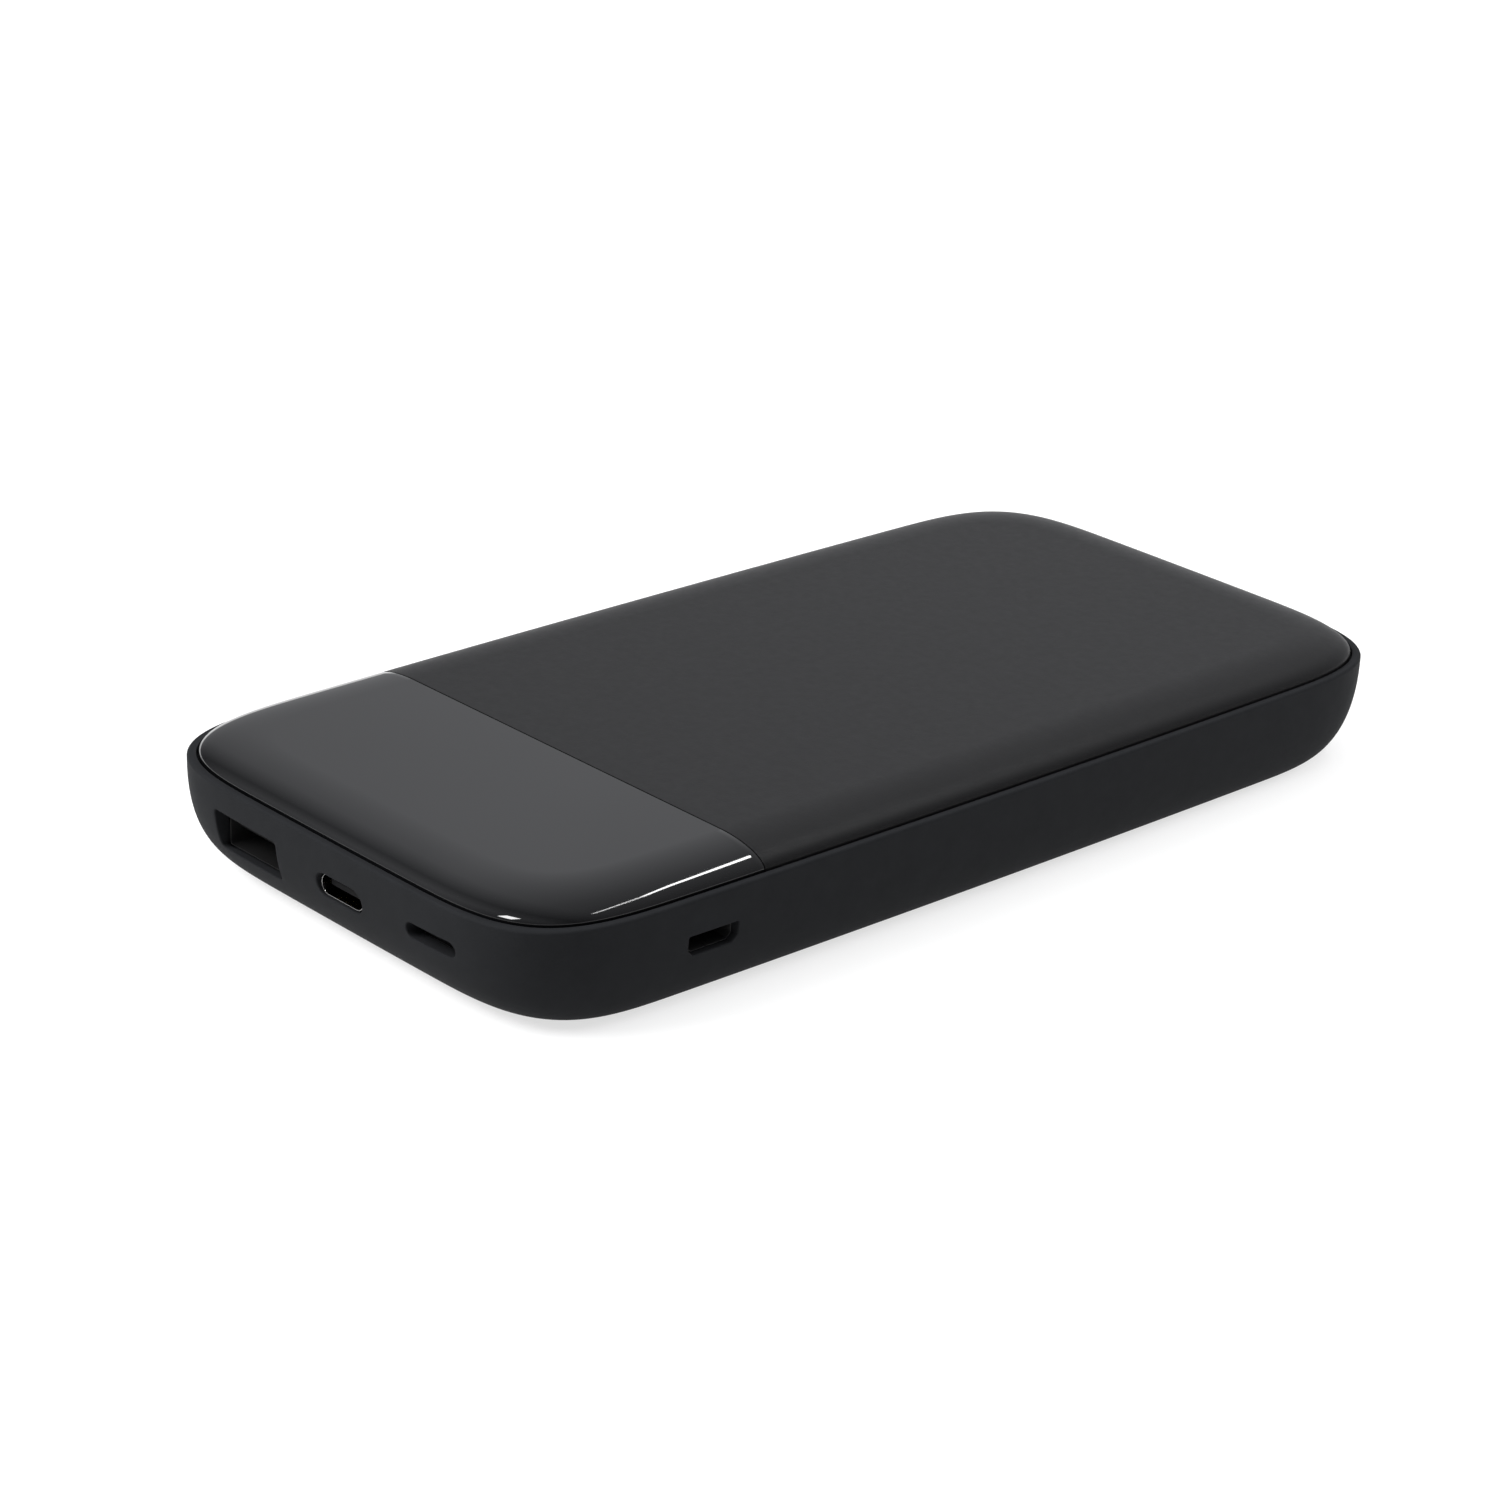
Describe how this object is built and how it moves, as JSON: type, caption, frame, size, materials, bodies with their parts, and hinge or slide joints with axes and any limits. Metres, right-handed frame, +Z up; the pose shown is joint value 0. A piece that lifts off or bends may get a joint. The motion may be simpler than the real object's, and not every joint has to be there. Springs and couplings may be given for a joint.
{
  "type": "power bank",
  "caption": "Flat pocket power bank with a tucked matte tub, soft-touch cover, glossy black display end, charging sockets and a side power button.",
  "frame": {"origin": "middle of the underside, on the surface that the power bank rests on", "axes": "+Z up through the cover, +Y along the length towards the plain end, the socket end faces -Y, the micro-usb socket faces +X and the power button faces -X"},
  "size_m": [0.081, 0.159, 0.0176],
  "materials": {
    "soft_touch_shell": "soft-touch matte black",
    "soft_touch_cover": "soft-touch matte black",
    "gloss_black": "polished piano black, hides the display when it is off",
    "black_tape": "thin black double-sided tape",
    "black_plastic": "moulded black",
    "white_film": "translucent white film",
    "foam": "closed-cell foam",
    "circuit_board": "green solder mask",
    "screw_steel": "zinc plated",
    "socket_steel": "bright nickel plated",
    "dark_steel": "dull nickel plated",
    "gold_contact": "thin gold plating",
    "pouch_foil": "satin laminated foil",
    "white_tape": "thin double-sided tape",
    "nickel_strip": "rolled nickel",
    "red_wire": "silicone insulation",
    "black_wire": "silicone insulation",
    "insulation_card": "grey-brown fish paper",
    "ferrite": "moulded ferrite",
    "chip_plastic": "moulded epoxy",
    "capacitor_can": "bare can"
  },
  "bodies": {
    "bank_body": {"lower_housing": "soft_touch_shell", "top_cover": "soft_touch_cover", "gloss_panel": "gloss_black", "panel_adhesive": "black_tape", "display_module": "black_plastic", "display_diffuser": "white_film", "display_shroud": "foam", "main_board": "circuit_board", "board_screws": "screw_steel", "usb_a_shell": "socket_steel", "usb_a_tongue": "black_plastic", "usb_a_contacts": "gold_contact", "usb_c_shell": "socket_steel", "usb_c_tongue": "black_plastic", "usb_c_contacts": "gold_contact", "slim_socket_shell": "dark_steel", "slim_socket_insert": "black_plastic", "slim_socket_contacts": "gold_contact", "micro_usb_shell": "dark_steel", "micro_usb_tongue": "black_plastic", "micro_usb_contacts": "gold_contact", "switch_body": "socket_steel", "lower_cell": "pouch_foil", "upper_cell": "pouch_foil", "cell_base_tape": "white_tape", "cell_joint_tape": "white_tape", "cover_foam_pad": "foam", "positive_busbar": "nickel_strip", "negative_busbar": "nickel_strip", "positive_lead": "red_wire", "negative_lead": "black_wire", "insulation_card": "insulation_card", "power_inductors": "ferrite", "controller_chip": "chip_plastic", "power_transistors": "chip_plastic", "filter_capacitors": "capacitor_can"},
    "button": {"power_button": "soft_touch_shell"},
    "plunger": {"switch_plunger": "black_plastic"}
  },
  "joints": [
    {"name": "button_press", "type": "slide", "parent": "bank_body", "child": "button", "axis": [1, 0, 0], "range_m": [0, 0.00025], "stiffness_N_per_m": 3200},
    {"name": "plunger_press", "type": "slide", "parent": "bank_body", "child": "plunger", "axis": [1, 0, 0], "range_m": [0, 0.00025]}
  ],
  "couplings": [
    {"joint": "plunger_press", "follows": "button_press", "ratio": 1}
  ]
}
